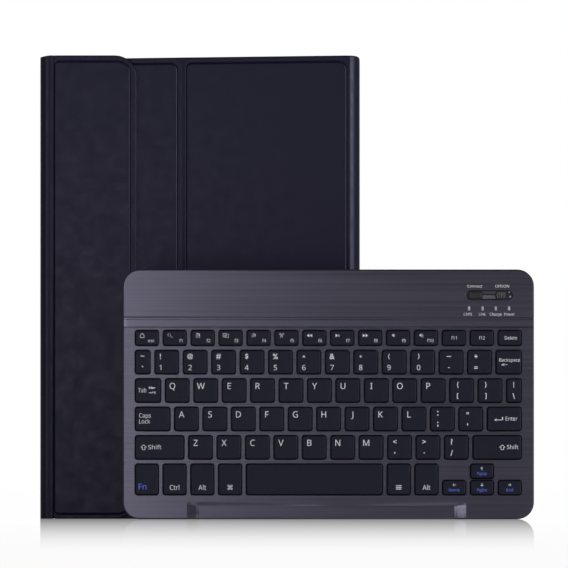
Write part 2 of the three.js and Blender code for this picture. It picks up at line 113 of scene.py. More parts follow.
class Box:
    """A rounded rectangle in X and Z. radii go lower left, lower right, upper right, upper left."""

    def __init__(self, left, low, right, high, radii):
        self.sides = (left, low, right, high)
        self.radii = radii if isinstance(radii, tuple) else (radii,) * 4

    def grown(self, d, left_share=1.0):
        """This outline moved out by d, and by left_share of that at its left side."""
        left, low, right, high = self.sides
        radii = tuple(max(0.05, r + d) for r in self.radii)
        return Box(left - d * left_share, low - d, right + d, high + d, radii)

    def with_sides(self, left=None, right=None, high=None):
        """This outline with some of its sides moved."""
        old_left, low, old_right, old_high = self.sides
        return Box(
            old_left if left is None else left, low,
            old_right if right is None else right, old_high if high is None else high, self.radii,
        )

    def points(self, steps=6):
        left, low, right, high = self.sides
        turns = ((left, low, 1, 1, 180), (right, low, -1, 1, 270), (right, high, -1, -1, 0),
                 (left, high, 1, -1, 90))
        out = []
        for (x, z, inward_x, inward_z, start), r in zip(turns, self.radii):
            r = max(r, 0.05)
            for k in range(steps + 1):
                a = math.radians(start + 90 * k / steps)
                out.append((x + inward_x * r + r * math.cos(a), z + inward_z * r + r * math.sin(a)))
        return out


class Builder:
    """Collects rings of vertices, strips of faces between rings, and flat fills with holes."""

    def __init__(self):
        self.mesh = bmesh.new()
        self.flat = self.mesh.faces.layers.int.new("flat")

    def ring(self, points, y):
        return [self.mesh.verts.new((x, y, z)) for x, z in points]

    def strip(self, one, other):
        n = len(one)
        for i in range(n):
            self.mesh.faces.new((one[i], one[(i + 1) % n], other[(i + 1) % n], other[i]))

    def rings(self, box, profile, steps=6, left_share=1.0):
        """Rings of box grown by each d and standing at each y, joined by strips."""
        made = [self.ring(box.grown(d, left_share).points(steps), y) for d, y in profile]
        for one, other in zip(made, made[1:]):
            self.strip(one, other)
        return made

    def fill(self, outer, holes=()):
        """Triangles between an outer ring and the rings of its holes."""
        rings = [outer, *holes]
        verts = [v for ring in rings for v in ring]
        flat = [Vector((v.co.x, v.co.z)) for v in verts]
        edges = []
        first = 0
        for ring in rings:
            n = len(ring)
            edges += [(first + i, first + (i + 1) % n) for i in range(n)]
            first += n
        found = delaunay_2d_cdt(flat, edges, [], 0, 1e-7, True)
        source = [ids[0] if ids else None for ids in found[3]]
        outlines = [[(v.co.x, v.co.z) for v in ring] for ring in rings]
        spans = [span_of(outline) for outline in outlines]
        for triangle in found[2]:
            if any(source[i] is None for i in triangle):
                raise ValueError("the rings of a fill cross each other")
            middle = sum((found[0][i] for i in triangle), Vector((0, 0))) / 3
            if not inside(middle, outlines[0], spans[0]):
                continue
            if any(inside(middle, o, s) for o, s in zip(outlines[1:], spans[1:])):
                continue
            corners = [verts[source[i]] for i in triangle]
            if len(set(corners)) == 3 and not self.mesh.faces.get(corners):
                self.mesh.faces.new(corners)[self.flat] = 1

    def cut_across(self, places, axis):
        """Splits every face at these places along X (0) or Z (2), so that it can bend there."""
        normal = Vector((axis == 0, 0, axis == 2))
        for place in places:
            everything = [*self.mesh.verts, *self.mesh.edges, *self.mesh.faces]
            bmesh.ops.bisect_plane(
                self.mesh, geom=everything, dist=1e-5, plane_co=normal * place, plane_no=normal,
            )

    def shape(self, move):
        """Moves every vertex by a function of its x, y and z."""
        for v in self.mesh.verts:
            v.co = move(*v.co)

    def finish(self, name, shift=(0, 0, 0), smooth=35):
        """The piece as an object in metres, with faces turned outwards and edges over smooth sharp."""
        bmesh.ops.remove_doubles(self.mesh, verts=self.mesh.verts, dist=1e-4)
        bmesh.ops.dissolve_degenerate(self.mesh, edges=self.mesh.edges, dist=1e-5)
        bmesh.ops.recalc_face_normals(self.mesh, faces=self.mesh.faces)
        flat = self.mesh.faces.layers.int.get("flat")
        for face in self.mesh.faces:
            level = max(v.co.y for v in face.verts) - min(v.co.y for v in face.verts) < 1e-4
            face.smooth = flat is None or not face[flat] or not level
        move = Matrix.Translation(Vector(shift) * MM) @ Matrix.Scale(MM, 4)
        bmesh.ops.transform(self.mesh, matrix=move, verts=self.mesh.verts)
        data = bpy.data.meshes.new(name)
        self.mesh.to_mesh(data)
        self.mesh.free()
        piece = bpy.data.objects.new(name, data)
        bpy.context.collection.objects.link(piece)
        shade(piece, smooth)
        return piece

    def piece(self, name, shift, body, material, slot, replaced=(), smooth=35):
        """Finishes the piece and gives it its body and material."""
        return place(self.finish(name, shift, smooth), body, material, slot, replaced)


def capsule(outline, profile, steps=6):
    """The builder of a closed body: a stack of rings with both ends filled."""
    builder = Builder()
    made = builder.rings(outline, profile, steps)
    builder.fill(made[0])
    builder.fill(made[-1])
    return builder


def span_of(outline):
    xs = [x for x, _ in outline]
    zs = [z for _, z in outline]
    return min(xs), min(zs), max(xs), max(zs)


def inside(point, outline, span):
    """Is the point inside this closed outline?"""
    x, z = point
    if not (span[0] < x < span[2] and span[1] < z < span[3]):
        return False
    crossings = 0
    for (x0, z0), (x1, z1) in zip(outline, outline[1:] + outline[:1]):
        if (z0 > z) != (z1 > z) and x < x0 + (z - z0) / (z1 - z0) * (x1 - x0):
            crossings += 1
    return crossings % 2 == 1


def shade(piece, angle):
    """Keeps the edges sharper than angle, and the faces marked flat, from being smoothed over."""
    smooth = [face.use_smooth for face in piece.data.polygons]
    piece.data.set_sharp_from_angle(angle=math.radians(angle))
    piece.data.polygons.foreach_set("use_smooth", smooth)


def rounded(radius, y, toward=1, steps=4, inset=0.0):
    """A quarter-round profile from a flat face at y, its edge inset by radius, to the side wall."""
    out = []
    for k in range(steps + 1):
        a = math.pi / 2 * k / steps
        out.append((-inset - radius * (1 - math.sin(a)), y + toward * radius * (1 - math.cos(a))))
    return out


def eased(t):
    """0 to 1, with a smooth start and end."""
    t = min(1.0, max(0.0, t))
    return t * t * (3 - 2 * t)


def spaced(start, end, count):
    return [start + (end - start) * k / (count - 1) for k in range(count)]


def place(piece, body, material, slot, replaced=()):
    """Gives a piece its body and material, and hides the CAD nodes that it stands for. The slot is not
    used.
    """
    piece.data.materials.clear()
    piece.data.materials.append(material)
    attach(piece, body)
    if replaced:
        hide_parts(*replaced)
    return piece


# ---------------------------------------------------------------- materials


class Tree:
    """A node tree, with short calls to add nodes, set their inputs and link them."""

    def __init__(self, owner):
        owner.use_nodes = True
        self.tree = owner.node_tree

    def link(self, output, target):
        self.tree.links.new(output, target)

    def node(self, kind, inputs=None, **values):
        """A new node. Each input gets a value, or a link from another node's output."""
        node = self.tree.nodes.new(kind)
        for key, value in values.items():
            setattr(node, key, value)
        for socket, value in (inputs or {}).items():
            if isinstance(value, bpy.types.NodeSocket):
                self.link(value, node.inputs[socket])
            else:
                node.inputs[socket].default_value = value
        return node

    def math(self, operation, one, other):
        return self.node("ShaderNodeMath", {0: one, 1: other}, operation=operation).outputs[0]

    def ranged(self, value, source, target):
        """The value, rescaled from the source range to the target range and held within it."""
        names = ("From Min", "From Max", "To Min", "To Max")
        inputs = {"Value": value, **dict(zip(names, (*source, *target)))}
        return self.node("ShaderNodeMapRange", inputs).outputs["Result"]


NOISE_RANGE = (0.3, 0.7)  # most of a noise's values lie in here


class Paint(Tree):
    """A material's node tree, with short calls for what the finishes share."""

    def __init__(self, name, color, roughness, metallic=0.0, specular=0.5):
        self.material = bpy.data.materials.new(name)
        super().__init__(self.material)
        self.shader = self.tree.nodes["Principled BSDF"]
        self.color = color
        self.set("Base Color", (*color, 1.0))
        self.set("Roughness", roughness)
        self.set("Metallic", metallic)
        self.set("Specular IOR Level", specular)

    def set(self, socket, value):
        self.shader.inputs[socket].default_value = value

    def places(self, scale=(1, 1, 1)):
        """Object coordinates in metres, stretched by scale."""
        coordinates = self.node("ShaderNodeTexCoord").outputs["Object"]
        inputs = {"Vector": coordinates, "Scale": scale}
        return self.node("ShaderNodeMapping", inputs).outputs["Vector"]

    def noise(self, scale, detail=3.0, stretch=(1, 1, 1)):
        inputs = {"Scale": scale, "Detail": detail, "Vector": self.places(stretch)}
        return self.node("ShaderNodeTexNoise", inputs).outputs["Fac"]

    def cells(self, scale):
        inputs = {"Scale": scale, "Smoothness": 0.6, "Vector": self.places()}
        return self.node("ShaderNodeTexVoronoi", inputs, feature="SMOOTH_F1").outputs["Distance"]

    def tint(self, value, dark, light, source=NOISE_RANGE):
        """Base colour between dark and light times the material's own, across the source range."""
        low, high = (tuple(c * share for c in self.color) + (1,) for share in (dark, light))
        inputs = {"Factor": self.ranged(value, source, (0, 1)), "A": low, "B": high}
        node = self.node("ShaderNodeMix", inputs, data_type="RGBA")
        self.link(node.outputs["Result"], self.shader.inputs["Base Color"])

    def roughness(self, value, low, high, source=NOISE_RANGE):
        self.link(self.ranged(value, source, (low, high)), self.shader.inputs["Roughness"])

    def bump(self, *layers):
        """Height layers as (value, depth in metres, strength), laid over each other."""
        normal = None
        for value, depth, strength in layers:
            inputs = {"Height": value, "Distance": depth, "Strength": strength}
            if normal:
                inputs["Normal"] = normal
            normal = self.node("ShaderNodeBump", inputs).outputs["Normal"]
        self.link(normal, self.shader.inputs["Normal"])


def leather():
    paint = Paint("leather", (0.0070, 0.0062, 0.0200), 0.45, specular=0.34)
    paint.set("Specular Tint", (0.78, 0.76, 1.0, 1.0))
    paint.tint(paint.noise(9, 4), 0.94, 1.06)
    paint.roughness(paint.noise(160, 5), 0.36, 0.46)
    paint.bump(
        (paint.cells(2300), 0.00005, 0.35),
        (paint.noise(1500, 3), 0.00004, 0.3),
        (paint.noise(26, 2), 0.0006, 0.05),
    )
    return paint.material


def suede():
    paint = Paint("suede", (0.022, 0.021, 0.028), 0.95, specular=0.15)
    paint.set("Sheen Weight", 0.25)
    paint.set("Sheen Roughness", 0.5)
    paint.tint(paint.noise(500, 5), 0.75, 1.3)
    paint.bump((paint.noise(3500, 4), 0.00012, 0.6))
    return paint.material


def brushed_metal():
    paint = Paint("brushed_metal", (0.176, 0.167, 0.230), 0.36, metallic=1.0)
    paint.set("Anisotropic", 0.8)
    paint.set("Anisotropic Rotation", 0.25)
    tangent = paint.node("ShaderNodeTangent", direction_type="RADIAL", axis="Z")
    paint.link(tangent.outputs["Tangent"], paint.shader.inputs["Tangent"])
    fine = paint.noise(1.0, 3, stretch=(9, 9, 3000))
    broad = paint.noise(1.0, 4, stretch=(4, 4, 900))
    streaks = paint.math("ADD", fine, broad)
    streak_range = (0.75, 1.25)
    paint.tint(streaks, 0.84, 1.14, streak_range)
    paint.roughness(streaks, 0.30, 0.44, streak_range)
    paint.bump((streaks, 0.00002, 0.35))
    return paint.material


def keycap_plastic():
    paint = Paint("keycap_plastic", (0.0052, 0.0052, 0.0150), 0.52, specular=0.36)
    paint.set("Specular Tint", (0.8, 0.8, 1.0, 1.0))
    paint.tint(paint.noise(60, 3), 0.9, 1.1)
    paint.roughness(paint.noise(900, 4), 0.47, 0.6)
    paint.bump((paint.noise(5200, 2), 0.00002, 0.4))
    return paint.material


def moulded(name, color, roughness, grain=0.3, **more):
    """Moulded plastic or rubber with a fine spark-eroded texture."""
    paint = Paint(name, color, roughness, **more)
    paint.tint(paint.noise(80, 3), 0.88, 1.12)
    paint.roughness(paint.noise(700, 4), roughness - 0.06, roughness + 0.06)
    paint.bump((paint.noise(4200, 3), 0.00003, grain))
    return paint.material


def metal(name, color, roughness):
    paint = Paint(name, color, roughness, metallic=1.0)
    paint.tint(paint.noise(300, 4), 0.85, 1.1)
    paint.roughness(paint.noise(900, 3), roughness - 0.08, roughness + 0.08)
    paint.bump((paint.noise(1800, 2), 0.00002, 0.2))
    return paint.material


def fibreboard():
    paint = Paint("fibreboard", (0.24, 0.17, 0.11), 0.9, specular=0.2)
    paint.tint(paint.noise(900, 6), 0.7, 1.25)
    paint.bump((paint.noise(1600, 5), 0.0002, 0.6))
    return paint.material


def film(name, color, roughness, transmission):
    """Thin clear or translucent plastic."""
    paint = Paint(name, color, roughness)
    paint.set("Transmission Weight", transmission)
    paint.tint(paint.noise(200, 3), 0.92, 1.0)
    paint.bump((paint.noise(900, 2), 0.00002, 0.15))
    return paint.material


def ink(name, color):
    paint = Paint(name, color, 0.6, specular=0.2)
    paint.tint(paint.noise(2500, 3), 0.9, 1.0)
    paint.bump((paint.noise(6000, 2), 0.00001, 0.2))
    return paint.material


LEATHER = leather()
SUEDE = suede()
FRAME_METAL = brushed_metal()
KEYCAP = keycap_plastic()
SHELL = moulded("shell_plastic", (0.012, 0.012, 0.016), 0.55, specular=0.4)
TRAY = moulded("tray_plastic", (0.011, 0.011, 0.014), 0.5, 0.2, specular=0.45)
SWITCH = moulded("switch_plastic", (0.012, 0.011, 0.019), 0.42, 0.15)
WELL = moulded("well_plastic", (0.09, 0.085, 0.115), 0.4, 0.15)
LEDGE = moulded("ledge_plastic", (0.04, 0.038, 0.05), 0.45, 0.15)
RUBBER = moulded("rubber", (0.01, 0.01, 0.011), 0.82, 0.5, specular=0.25)
CIRCUIT = moulded("solder_mask", (0.01, 0.09, 0.04), 0.35, 0.2)
WIRE = moulded("wire_jacket", (0.02, 0.02, 0.024), 0.6, 0.2)
MAGNET = metal("magnet_plating", (0.55, 0.55, 0.57), 0.25)
STEEL = metal("tinned_steel", (0.5, 0.5, 0.5), 0.35)
FOIL = metal("battery_foil", (0.6, 0.62, 0.64), 0.42)
FIBRE = fibreboard()
MEMBRANE = film("membrane_film", (0.8, 0.83, 0.85), 0.25, 0.5)
LAMP = moulded("lamp_lens", (0.42, 0.42, 0.5), 0.3, 0.1)
WHITE_INK = ink("white_ink", (0.85, 0.85, 0.9))
BLUE_INK = ink("blue_ink", (0.16, 0.22, 0.95))

# ---------------------------------------------------------------- the folio's leather skins

SKIRT_DROP = 0.45  # how far the leather beyond a board lies below the board's face
# The leather from a board's crease up to its face: distance outside the board's edge, and depth.
SHOULDER = [
    (1.2, SKIRT_DROP), (0.98, 0.53), (0.8, 0.8), (0.62, 0.84), (0.45, 0.58), (0.26, 0.32),
    (0.04, 0.13), (-0.25, 0.03), (-0.55, 0),
]
EDGE = 0.7  # radius of a turned leather edge
SKIN = 0.6  # thickness of the leather in front of a board
LINING_STEP = 0.55  # depth of a lining's pocket
BOARD_PLAY = 0.35  # between a board and the outline that its leather is drawn round
TOP_MARGIN = 4.1  # from a cover's top edge down to its boards
LINING_MARGIN = 3.2  # and down to its linings
COVER_DIP = 2.2  # how far the front cover's top edge falls towards the left
LIP_RADIUS = 9.0  # of the front cover's right edge, which rolls back
LIP_START = WIDE_HIGH[0] - LIP_RADIUS
FLAP_CORNER = 13
FLAP_TUCK = 0.7  # how far the flap's leather reaches left past its CAD shape, over the groove
COVER_TUCK = 0.5  # and the covers'
LIP_FALL = 2.0  # how far the top edge falls as the lip rolls back


def board_of(node, radii):
    """A CAD board's outline as a Box."""
    low, high = box_mm(node)
    return Box(low[0], low[2], high[0], high[2], radii)


def skin(outline, depth, boards, linings, left_share=1.0):
    """A leather panel: turned edges, a raised area over each board, and a pocket behind each.

    Its depths run from 0, at the boards' raised faces, back to depth. Each pocket has a wide step
    for the lining and a deeper one for the board. Returns the builder.
    """
    steps = 8
    builder = Builder()
    front = [(d, SKIRT_DROP + y) for d, y in rounded(EDGE, 0, steps=4)]
    back = [(d, y) for d, y in reversed(rounded(0.35, depth, toward=-1, steps=2))]
    outer = builder.rings(outline, front + back, steps, left_share)
    raised = []
    sunk = []
    for board, lining in zip(boards, linings):
        made = builder.rings(board, SHOULDER, steps, left_share)
        raised.append(made[0])
        builder.fill(made[-1])
        wide = builder.rings(lining, [(0.1, depth), (0.1, depth - LINING_STEP)], steps)
        seat = board.with_sides(left=max(board.sides[0], lining.sides[0]))
        deep = builder.rings(seat, [(-0.2, depth - LINING_STEP), (-0.2, SKIN)], steps)
        sunk.append(wide[0])
        builder.fill(wide[-1], [deep[0]])
        builder.fill(deep[-1])
    builder.fill(outer[0], raised)
    builder.fill(outer[-1], sunk)
    return builder


def build_board(node, body, outline, move=None):
    """A fibreboard stiffener with its corners rounded to fit its pocket."""
    builder = capsule(outline, [(-BOARD_PLAY, corner[1] - FOLIO_Y) for corner in box_mm(node)])
    if move:
        builder.shape(move)
    builder.piece(node + "_stiffener", FOLIO_PLACE, body, FIBRE, "fibreboard", [node])


def build_flap():
    depth = FLAP_HIGH[1] - FLAP_LOW[1]
    radii = (0.9, FLAP_CORNER, FLAP_CORNER, 0.9)
    outline = Box(FLAP_LOW[0] - FLAP_TUCK, 0, FLAP_HIGH[0], CASE_HEIGHT, radii)
    board = board_of("flap_board", (1.8, 6.8, 6.8, 1.8))
    board = board.with_sides(FLAP_LOW[0] + 0.12, board.sides[2] - 0.8, CASE_HEIGHT - TOP_MARGIN)
    lining = board_of("flap_lining", (2, 6.5, 6.5, 2))
    builder = skin(outline, depth, [board], [lining], left_share=0.4)
    builder.piece("flap_skin", FOLIO_PLACE, "flap", LEATHER, "leather", ["flap_leather"])
    build_board("flap_board", "flap", board.with_sides(left=lining.sides[0]))


def sloped(x, z):
    """z, lowered as the front cover's top edge falls towards the left."""
    leftward = max(0.0, (LIP_START - x) / (LIP_START - BASE_LOW[0]))
    return z * (1 - COVER_DIP / WIDE_HIGH[2] * leftward)


def bend(piece, start_x, end_x):
    """Gives a leather piece the leather material and bakes its placing into its mesh. start_x and
    end_x are not used.
    """
    piece.data.materials.append(LEATHER)
    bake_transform(piece)


FOLD_REACH = 4.2  # the cover's mesh is finely cut this far to each side of the fold
FOLD_BEND = 2.9  # a distance from the fold that is handed to bend(), which does not use it
CREASE_REACH = 2.4
CREASE_RISE = 0.25  # how far the leather bulges forward along the fold
CREASE_HOLLOW = 1.1  # and how much thinner it is behind
LEVEL_LENGTH = 1.0  # over which the leather rises to the board's height, right of the last board

def build_front_cover():
    """Narrow and wide panel as one leather skin with a raised crease along the fold, and its rounded
    lip.
    """
    front = BASE_LOW[1] - FOLIO_Y
    depth = BASE_HIGH[1] - BASE_LOW[1]
    reach = WIDE_HIGH[1] - WIDE_LOW[1]
    arc_length = LIP_RADIUS * math.pi / 2
    end = LIP_START + arc_length + reach - LIP_RADIUS
    top = WIDE_HIGH[2]
    outline = Box(BASE_LOW[0] - COVER_TUCK, 0, end, top, (1, 3, 3, 1))
    boards = [
        board_of("base_panel_board", (1.5, 3.4, 3.4, 1.5)).with_sides(high=top - TOP_MARGIN),
        board_of("front_panel_board", (2.4, 5, 5, 2.4)).with_sides(high=top - TOP_MARGIN),
    ]
    linings = [board_of("base_panel_lining", 0.3), board_of("front_panel_lining", 0.3)]
    linings = [lining.with_sides(high=top - LINING_MARGIN) for lining in linings]
    builder = skin(outline, depth, boards, linings)
    fold = spaced(FOLD_X - FOLD_REACH, FOLD_X + FOLD_REACH, 25)
    level_start = boards[1].sides[2] + 1.25
    level = spaced(level_start, level_start + LEVEL_LENGTH, 5)
    lip = spaced(LIP_START, LIP_START + arc_length, 19)
    builder.cut_across(fold + level + lip, axis=0)

    def move(x, y, z):
        z = sloped(x, z)
        on_front = y < depth / 2
        across = (x - FOLD_X) / CREASE_REACH
        if abs(across) < 1:
            crown = math.cos(across * math.pi / 2) ** 2
            y -= (CREASE_RISE if on_front else CREASE_HOLLOW) * crown
        if on_front:
            y -= SKIRT_DROP * eased((x - level_start) / LEVEL_LENGTH)
        if x <= LIP_START:
            return Vector((x, front + y, z))
        angle = min((x - LIP_START) / LIP_RADIUS, math.pi / 2)
        past = max(0.0, x - LIP_START - arc_length)
        out = LIP_RADIUS - y
        return Vector((
            LIP_START + out * math.sin(angle),
            front + LIP_RADIUS - out * math.cos(angle) + past,
            z * (1 - LIP_FALL / top * (1 - math.cos(angle)) ** 2),
        ))

    builder.shape(move)
    piece = builder.finish("front_cover_skin", FOLIO_PLACE, smooth=50)
    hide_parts("base_panel_leather", "front_panel_leather")
    bend(piece, FOLD_X - FOLD_BEND, FOLD_X + FOLD_BEND)
    for body, board in zip(("base_panel", "front_panel"), boards):
        build_board(body + "_board", body, board, lambda x, y, z: Vector((x, y, sloped(x, z))))


def build_rear_cover():
    depth = REAR_HIGH[1] - REAR_LOW[1]
    outline = Box(REAR_LOW[0] - COVER_TUCK, 0, REAR_HIGH[0], REAR_HIGH[2], (1, 3, 3, 1))
    board = board_of("rear_cover_board", (2.5, 3.5, 3.5, 2.5))
    builder = skin(outline, depth, [board], [board_of("rear_cover_lining", 2.5)])
    back = REAR_HIGH[1] - FOLIO_Y
    builder.shape(lambda x, y, z: Vector((x, back - y, z)))
    replaced = ["rear_cover_leather"]
    builder.piece("rear_cover_skin", FOLIO_PLACE, "rear_cover", LEATHER, "leather", replaced)
    build_board("rear_cover_board", "rear_cover", board)


def arc(x, y, radius, start, end, steps=10):
    angles = spaced(math.radians(start), math.radians(end), steps + 1)
    return [(x + radius * math.cos(a), y + radius * math.sin(a)) for a in angles]


def upright(name, section, low, high, bevel=0.0, fall=None):
    """A closed section in X and Y, drawn out from low to high in Z. fall lowers its top end by x."""
    mesh = bmesh.new()
    bottom = [mesh.verts.new((x, y, low)) for x, y in section]
    top = [mesh.verts.new((x, y, high)) for x, y in section]
    n = len(section)
    ends = [mesh.faces.new(bottom), mesh.faces.new(top)]
    for i in range(n):
        mesh.faces.new((bottom[i], bottom[(i + 1) % n], top[(i + 1) % n], top[i]))
    if bevel:
        rims = {edge for face in ends for edge in face.edges}
        bmesh.ops.bevel(
            mesh, geom=list(rims), offset=bevel, segments=3, affect="EDGES", clamp_overlap=True,
        )
    builder = Builder()
    builder.mesh.free()
    builder.mesh = mesh
    if fall:
        builder.shape(lambda x, y, z: Vector((x, y, z - fall(x) if z > high / 2 else z)))
    return builder.finish(name, FOLIO_PLACE, smooth=40)


SPINE_FALL = 1.2  # how far the spine's top falls at its left edge


def build_spine():
    """The rounded strip at the left, whose two lips are plump where the padding ends."""
    left, right = SPINE_LOW[0], SPINE_HIGH[0]
    back = SPINE_HIGH[1] - FOLIO_Y
    radius = 7.3
    thickness = 1.6
    middle = left + radius
    inner = radius - thickness
    lip = thickness / 2
    corner = 0.3
    tip = right + 0.65
    section = [
        *arc(middle, back - radius, radius, 180, 90),
        *arc(right - lip + 0.5, back - lip, lip, 90, -90, 6),
        *arc(middle, back - radius, inner, 90, 180)[1:],
        *arc(middle, radius, inner, 180, 270),
        *arc(tip - corner, thickness - corner, corner, 90, 0, 3),
        *arc(tip - corner, corner, corner, 0, -90, 3),
        *arc(middle, radius, radius, 270, 180)[1:],
    ]

    def fall(x):
        return SPINE_FALL * max(0.0, 1 - (x - left) / radius) ** 2

    piece = upright("spine_skin", section, 0, CASE_HEIGHT, bevel=0.7, fall=fall)
    place(piece, "spine", LEATHER, "leather", ["spine_leather"])


def build_groove(name, points):
    """A thin strip of leather that dips across a hinge line."""
    thickness = 0.5
    section = points + [(x, y + thickness) for x, y in reversed(points)]
    piece = upright(name, section, 0.1, CASE_HEIGHT - 0.1)
    bend(piece, points[0][0], points[-1][0])


def build_tray():
    """The tablet's shell: rounded outside, with a lip all round and a softly edged floor."""
    front = TRAY_LOW[1] - FOLIO_Y
    back = TRAY_HIGH[1] - FOLIO_Y
    outline = Box(TRAY_LOW[0], TRAY_LOW[2], TRAY_HIGH[0], TRAY_HIGH[2], 9)
    builder = Builder()
    outside = rounded(0.8, front) + list(reversed(rounded(2.0, back, toward=-1)))
    outer = builder.rings(outline, outside, 8)
    mouth = [
        (-2.6, front), (-2.9, front + 0.15), (-3.0, front + 0.5), (-3.0, front + 1.0),
        (-2.9, front + 1.1), (-1.8, front + 1.2), (-1.8, back - 2.6), (-2.1, back - 1.6),
        (-2.9, back - 1.3),
    ]
    inner = builder.rings(outline, mouth, 8)
    builder.fill(outer[0], [inner[0]])
    builder.fill(inner[-1])
    builder.fill(outer[-1])
    piece = builder.finish("tablet_tray_shell", FOLIO_PLACE, smooth=50)
    place(piece, "rear_cover", TRAY, "tray_plastic", ["tablet_tray"])


# ---------------------------------------------------------------- the keyboard's shell

WALL = 1.6
CORNER = 10
DECK_FRONT = 1.6  # depths behind the key tops
DECK_BACK = 2.7
FRAME_BACK = FRAME_HIGH[1] - KEY_Y
COVER_FRONT = SHELL_LOW[1] - KEY_Y
COVER_BACK = SHELL_HIGH[1] - KEY_Y
KEY_PLAY = 0.3
# How far the frame's face comes forward, by height: a fine groove, a strip, a wider groove, a band.
BAND = [
    (114.3, 0), (114.6, -0.35), (114.95, -0.35), (115.2, 0.2), (119.2, 0.42),
    (119.5, 0.02), (120.5, 0.06), (120.9, 0.95), (121.3, 1.1),
]
SWITCH_SLOT = Box(205.3, 131, 233.6, 137, 2.99)
CONNECT_X = 211.1
KNOB_X = 226.2
SWITCH_Z = 134
LAMP_X = [207.2, 215.3, 223.2, 231.2]
LAMP_Z = 126
SCOOP_ENDS = (38.5, 205.5)  # the frame's lower edge is pressed back a little between these
SCOOP_SLOPE = 7.0  # length of the slope at each end
SCOOP_TOP = 11.0
SCOOP_FADE = 3.0  # height over which it fades out below its top
SCOOP_DEPTH = 0.9


def scoop(x, z):
    """How far the frame's face is pressed back at this place."""
    left, right = SCOOP_ENDS
    across = 1.0
    for inward in (x - left, right - x):
        across *= min(1.0, max(0.0, inward / SCOOP_SLOPE))
    return SCOOP_DEPTH * across * eased((SCOOP_TOP - z) / SCOOP_FADE)


def on_line(points, z):
    """The height of a broken line at z; it is level beyond its ends."""
    if z <= points[0][0]:
        return points[0][1]
    for (z0, y0), (z1, y1) in zip(points, points[1:]):
        if z <= z1:
            return y0 + (y1 - y0) * (z - z0) / (z1 - z0)
    return points[-1][1]


def key_openings():
    """The openings of each body of keys, read from its CAD node, in keyboard places."""
    found = {}
    for joint in frame["joints"]:
        body = joint["child"]
        if not joint["name"].startswith("press_"):
            continue
        corners = frame["nodes"][body].data.vertices
        tops = [v.co / MM for v in corners if v.co.y / MM < KEY_Y + 0.01]
        xs = sorted(v.x for v in tops)
        gaps = [(a, b) for a, b in zip(xs, xs[1:]) if 2.2 < b - a < 3.4]
        lefts = [xs[0]] + [b for _, b in gaps]
        rights = [a for a, _ in gaps] + [xs[-1]]
        low = min(v.z for v in tops) - KEY_PLAY
        high = max(v.z for v in tops) + KEY_PLAY
        found[body] = [
            (left - KEY_PLAY - KEY_X, low, right + KEY_PLAY - KEY_X, high)
            for left, right in zip(lefts, rights)
        ]
    return found


OPENINGS = key_openings()
SHELL_OUTLINE = Box(0, 0, KEY_WIDTH, KEY_HEIGHT, CORNER)


def placed_outline(node, radii):
    """A CAD node's outline in keyboard places, and its front and back depths."""
    low, high = box_mm(node)
    outline = Box(low[0] - KEY_X, low[2], high[0] - KEY_X, high[2], radii)
    return outline, low[1] - KEY_Y, high[1] - KEY_Y


def carve(piece, builder):
    """Cuts a shape, drawn in keyboard places, out of the piece."""
    cutter = builder.finish("cut", KEYBOARD_PLACE)
    step = piece.modifiers.new("cut", "BOOLEAN")
    step.object = cutter
    step.solver = "EXACT"
    bpy.context.view_layer.update()
    done = piece.evaluated_get(bpy.context.evaluated_depsgraph_get())
    data = bpy.data.meshes.new_from_object(done)
    piece.modifiers.clear()
    piece.data = data
    bpy.data.objects.remove(cutter)
    shade(piece, 35)


PORT_LOW, PORT_HIGH = box_mm("charging_port")


def port_body(grow, radius, low_z, high_z):
    """The charging port's outline in X and Y, grown and drawn out from low_z up to high_z."""
    sides = (PORT_LOW[0] - KEY_X, PORT_LOW[1] - KEY_Y, PORT_HIGH[0] - KEY_X, PORT_HIGH[1] - KEY_Y)
    builder = capsule(Box(*sides, radius).grown(grow), [(0, low_z), (0, high_z)])
    builder.shape(lambda x, y, z: Vector((x, z, y)))
    return builder


def build_port():
    """The charging socket: a metal mouth around a dark tongue."""
    top = PORT_HIGH[2]
    mouth = port_body(0, 0.95, PORT_LOW[2], top).finish("port_mouth", KEYBOARD_PLACE)
    carve(mouth, port_body(-0.3, 0.7, top - 5, top + 1))
    place(mouth, "keyboard", STEEL, "steel", ["charging_port"])
    tongue = port_body(-0.8, 0.15, top - 5.5, top - 0.8)
    tongue.piece("port_tongue", KEYBOARD_PLACE, "keyboard", SWITCH, "steel")


def blacken_rim(piece):
    """The frame's turned outer edge is bare black plastic: its faces take a second material."""
    piece.data.materials.append(SHELL)
    face_area = SHELL_OUTLINE.grown(-0.8).points(10)
    span = span_of(face_area)
    for face in piece.data.polygons:
        middle = face.center / MM
        spot = (middle.x - KEY_X, middle.z)
        if face.normal.y > -0.93 and not inside(spot, face_area, span):
            face.material_index = 1


